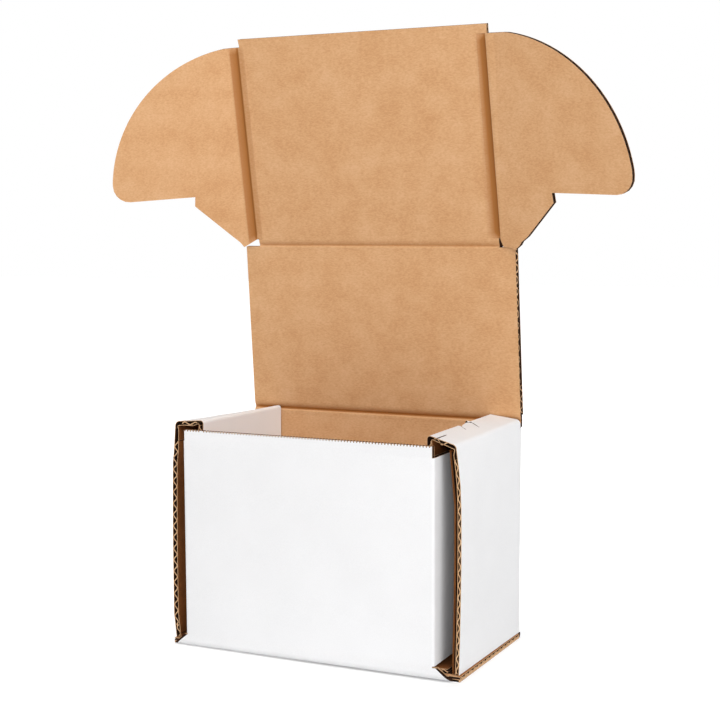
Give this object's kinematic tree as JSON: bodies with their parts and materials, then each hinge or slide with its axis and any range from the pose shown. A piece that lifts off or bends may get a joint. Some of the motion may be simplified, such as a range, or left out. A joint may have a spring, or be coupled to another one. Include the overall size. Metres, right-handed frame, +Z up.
{
  "type": "mug box",
  "caption": "Die-cut corrugated mailer with rolled hollow side walls, a hinged lid, a front tuck flap and rounded locking ears.",
  "frame": {"origin": "centre of the base panel's flat underside", "axes": "+X to the right along the width, +Y from the front wall to the back wall, +Z up; the lid stands open above the back wall"},
  "size_m": [0.2997, 0.0975, 0.3286],
  "materials": {
    "white_kraft_board": "matte"
  },
  "bodies": {
    "tray": {"tray": "white_kraft_board"},
    "lid": {"lid": "white_kraft_board"},
    "tuck_flap": {"tuck_flap": "white_kraft_board"},
    "left_ear": {"left_ear": "white_kraft_board"},
    "right_ear": {"right_ear": "white_kraft_board"}
  },
  "joints": [
    {"name": "lid_hinge", "type": "hinge", "parent": "tray", "child": "lid", "pos_m": [0, 0.04475, 0.11995], "axis": [1, 0, 0], "range_deg": [-90, 84.2]},
    {"name": "tuck_hinge", "type": "hinge", "parent": "lid", "child": "tuck_flap", "pos_m": [0, 0.03515, 0.21446], "axis": [1, 0, 0], "range_deg": [-75, 84.2]},
    {"name": "left_ear_hinge", "type": "hinge", "parent": "tuck_flap", "child": "left_ear", "pos_m": [-0.0732, 0.03515, 0.21446], "axis": [0, -0.2011, 0.9796], "range_deg": [-23.3, 66.7]},
    {"name": "right_ear_hinge", "type": "hinge", "parent": "tuck_flap", "child": "right_ear", "pos_m": [0.0732, 0.03515, 0.21446], "axis": [0, 0.2011, -0.9796], "range_deg": [-13.5, 76.5]}
  ]
}
